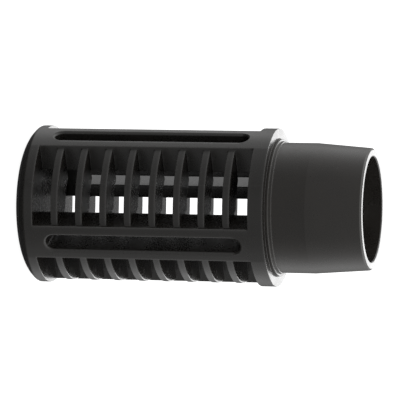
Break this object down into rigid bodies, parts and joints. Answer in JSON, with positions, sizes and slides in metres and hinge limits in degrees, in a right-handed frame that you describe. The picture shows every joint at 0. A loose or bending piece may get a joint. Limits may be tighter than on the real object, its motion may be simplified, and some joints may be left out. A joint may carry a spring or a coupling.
{
  "type": "foot valve",
  "caption": "Foot valve for a suction pipe: slotted cylindrical strainer basket under a plain pipe spigot that holds a spring-loaded poppet check valve.",
  "frame": {"origin": "centre of the end cap's flat base, on the valve's axis", "axes": "+Z along the valve's axis from the closed end to the spigot's mouth, the way the water flows; the four double rails lie on the X and Y axes"},
  "size_m": [0.0768, 0.0768, 0.1695],
  "materials": {
    "basket_plastic": "black polypropylene with a satin moulded skin",
    "spigot_plastic": "black polypropylene, smooth and slightly glossier than the basket",
    "valve_plastic": "dark grey moulded acetal",
    "bush_plastic": "natural white acetal, turned",
    "seal_rubber": "black EPDM, matte",
    "stainless": "stainless steel, turned or pressed",
    "spring_steel": "drawn stainless spring wire"
  },
  "bodies": {
    "valve_body": {"strainer_basket": "basket_plastic", "end_cap": "basket_plastic", "cap_screws": "stainless", "spigot_body": "spigot_plastic", "collar_screws": "stainless", "seat_ring": "valve_plastic", "seat_o_ring": "seal_rubber", "spacer_sleeve": "valve_plastic", "guide_spider": "valve_plastic", "guide_bush": "bush_plastic", "spring_cup": "stainless", "circlip": "spring_steel", "return_spring": "spring_steel"},
    "poppet": {"poppet_disc": "valve_plastic", "poppet_seal": "seal_rubber", "seal_retainer": "stainless", "lock_washer": "stainless", "retainer_screw": "stainless", "poppet_stem": "stainless", "spring_washer": "stainless"}
  },
  "joints": [
    {"name": "poppet_lift", "type": "slide", "parent": "valve_body", "child": "poppet", "axis": [0, 0, 1], "range_m": [0, 0.008], "stiffness_N_per_m": 60, "springref_m": -0.008, "deforming": ["return_spring"]}
  ]
}
